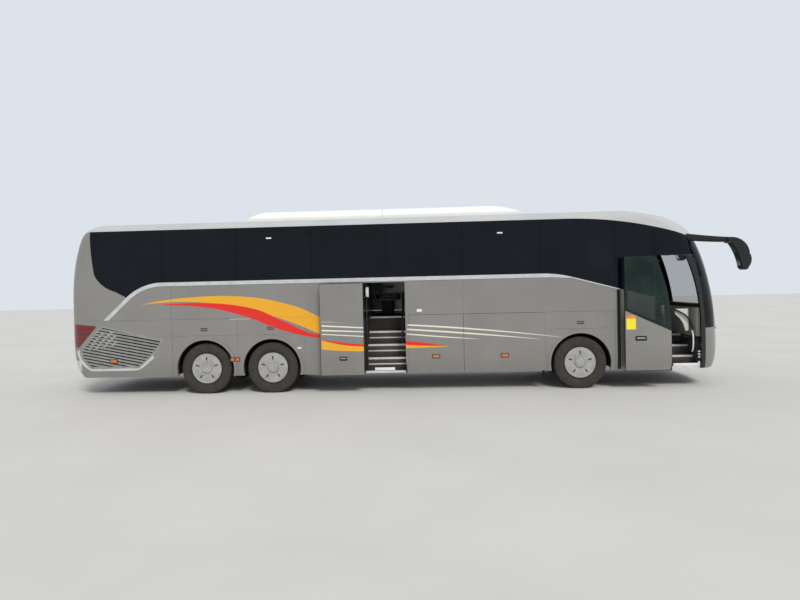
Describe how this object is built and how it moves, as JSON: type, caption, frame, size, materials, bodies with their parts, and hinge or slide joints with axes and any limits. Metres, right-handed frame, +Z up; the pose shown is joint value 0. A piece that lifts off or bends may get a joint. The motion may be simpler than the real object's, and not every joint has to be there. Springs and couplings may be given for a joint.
{
  "type": "coach bus",
  "caption": "High-deck touring coach with two doors standing open, steered front wheels, twin drive wheels and a trailing axle, luggage flaps and a roof cooling unit.",
  "frame": {"origin": "centre of the overall length and width, on the ground", "axes": "+X forward, +Y to the driver's left, +Z up; the doors are on the right side, -Y"},
  "size_m": [13.4418, 3, 3.7047],
  "materials": {
    "body_paint": "warm grey metallic coach enamel",
    "roof_paint": "silver metallic coach enamel",
    "pod_white": "white gelcoat",
    "hatch_plastic": "grained white plastic",
    "pillar_black": "gloss black enamel",
    "side_glass": "dark tinted safety glass",
    "screen_glass": "green tinted laminated glass",
    "silver_trim": "satin anodised",
    "floor_covering": "sheet vinyl",
    "stair_covering": "ribbed sheet vinyl",
    "bay_sheet": "mill finish sheet",
    "black_plastic": "moulded black",
    "chassis_paint": "black chassis paint",
    "cast_hub": "as cast, greasy",
    "seat_cloth": "woven moquette",
    "dash_plastic": "grained",
    "lamp_clear": "clear polycarbonate over reflectors",
    "lamp_red": "dark red lens",
    "tyre_rubber": "black rubber",
    "wheel_silver": "silver painted"
  },
  "bodies": {
    "coach": {"wall_right": "body_paint", "wall_left": "body_paint", "tail_wall": "body_paint", "nose_mask": "body_paint", "bumpers": "body_paint", "mid_door_leaf": "body_paint", "front_door_leaf": "body_paint", "roof": "roof_paint", "cooling_pod": "pod_white", "window_frames": "pillar_black", "front_door_frame": "pillar_black", "side_glass": "side_glass", "windshield": "screen_glass", "front_door_glass": "screen_glass", "waist_mouldings": "silver_trim", "grilles": "silver_trim", "deck": "floor_covering", "stairwells": "stair_covering", "luggage_bay": "bay_sheet", "wheel_housings": "black_plastic", "subframes": "chassis_paint", "front_axle": "chassis_paint", "drive_axle": "chassis_paint", "tag_axle": "chassis_paint", "engine": "cast_hub", "seats": "seat_cloth", "dash": "dash_plastic", "hand_wheel": "black_plastic", "door_arms": "chassis_paint", "mirrors": "black_plastic", "wipers": "black_plastic", "headlamps": "lamp_clear", "tail_lamps": "lamp_red"},
    "steer_left": {"knuckle_left": "cast_hub"},
    "steer_right": {"knuckle_right": "cast_hub"},
    "wheel_front_right": {"tyre_front_right": "tyre_rubber", "rim_front_right": "wheel_silver"},
    "wheel_front_left": {"tyre_front_left": "tyre_rubber", "rim_front_left": "wheel_silver"},
    "wheel_drive_right": {"tyre_drive_right": "tyre_rubber", "rim_drive_right": "wheel_silver"},
    "wheel_drive_left": {"tyre_drive_left": "tyre_rubber", "rim_drive_left": "wheel_silver"},
    "wheel_tag_right": {"tyre_tag_right": "tyre_rubber", "rim_tag_right": "wheel_silver"},
    "wheel_tag_left": {"tyre_tag_left": "tyre_rubber", "rim_tag_left": "wheel_silver"},
    "flap_right_front_body": {"flap_right_front": "body_paint"},
    "flap_right_rear_body": {"flap_right_rear": "body_paint"},
    "flap_left_front_body": {"flap_left_front": "body_paint"},
    "flap_left_mid_body": {"flap_left_mid": "body_paint"},
    "flap_left_rear_body": {"flap_left_rear": "body_paint"},
    "engine_lid_body": {"engine_lid": "body_paint"},
    "roof_hatch_body": {"roof_hatch": "hatch_plastic"}
  },
  "joints": [
    {"name": "steering", "type": "hinge", "parent": "coach", "child": "steer_left", "pos_m": [3.5775, 0.93, 0.51], "axis": [0, 0, 1], "range_deg": [-40, 40]},
    {"name": "steering_right", "type": "hinge", "parent": "coach", "child": "steer_right", "pos_m": [3.5775, -0.93, 0.51], "axis": [0, 0, 1], "range_deg": [-40, 40]},
    {"name": "wheel_front_right", "type": "hinge", "parent": "steer_right", "child": "wheel_front_right", "pos_m": [3.5775, -1.085, 0.51], "axis": [0, 1, 0], "continuous": true},
    {"name": "wheel_front_left", "type": "hinge", "parent": "steer_left", "child": "wheel_front_left", "pos_m": [3.5775, 1.085, 0.51], "axis": [0, 1, 0], "continuous": true},
    {"name": "wheel_drive_right", "type": "hinge", "parent": "coach", "child": "wheel_drive_right", "pos_m": [-2.5025, -1.085, 0.51], "axis": [0, 1, 0], "continuous": true},
    {"name": "wheel_drive_left", "type": "hinge", "parent": "coach", "child": "wheel_drive_left", "pos_m": [-2.5025, 1.085, 0.51], "axis": [0, 1, 0], "continuous": true},
    {"name": "wheel_tag_right", "type": "hinge", "parent": "coach", "child": "wheel_tag_right", "pos_m": [-3.8525, -1.085, 0.51], "axis": [0, 1, 0], "continuous": true},
    {"name": "wheel_tag_left", "type": "hinge", "parent": "coach", "child": "wheel_tag_left", "pos_m": [-3.8525, 1.085, 0.51], "axis": [0, 1, 0], "continuous": true},
    {"name": "flap_right_front_lift", "type": "hinge", "parent": "coach", "child": "flap_right_front_body", "pos_m": [2.112, -1.2755, 1.508], "axis": [-1, 0, 0], "range_deg": [0, 85]},
    {"name": "flap_right_rear_lift", "type": "hinge", "parent": "coach", "child": "flap_right_rear_body", "pos_m": [0.777, -1.2755, 1.508], "axis": [-1, 0, 0], "range_deg": [0, 85]},
    {"name": "flap_left_front_lift", "type": "hinge", "parent": "coach", "child": "flap_left_front_body", "pos_m": [2.112, 1.2755, 1.508], "axis": [1, 0, 0], "range_deg": [0, 85]},
    {"name": "flap_left_mid_lift", "type": "hinge", "parent": "coach", "child": "flap_left_mid_body", "pos_m": [0.531, 1.2755, 1.508], "axis": [1, 0, 0], "range_deg": [0, 85]},
    {"name": "flap_left_rear_lift", "type": "hinge", "parent": "coach", "child": "flap_left_rear_body", "pos_m": [-1.04, 1.2755, 1.508], "axis": [1, 0, 0], "range_deg": [0, 85]},
    {"name": "engine_lid_lift", "type": "hinge", "parent": "coach", "child": "engine_lid_body", "pos_m": [-6.7215, 0, 1.894], "axis": [0, 1, 0], "range_deg": [0, 80]},
    {"name": "roof_hatch_lift", "type": "hinge", "parent": "coach", "child": "roof_hatch_body", "pos_m": [-3.9865, 0, 3.522], "axis": [0, 1, 0], "range_deg": [0, 30]}
  ],
  "couplings": [
    {"joint": "steering_right", "follows": "steering", "ratio": 1}
  ]
}
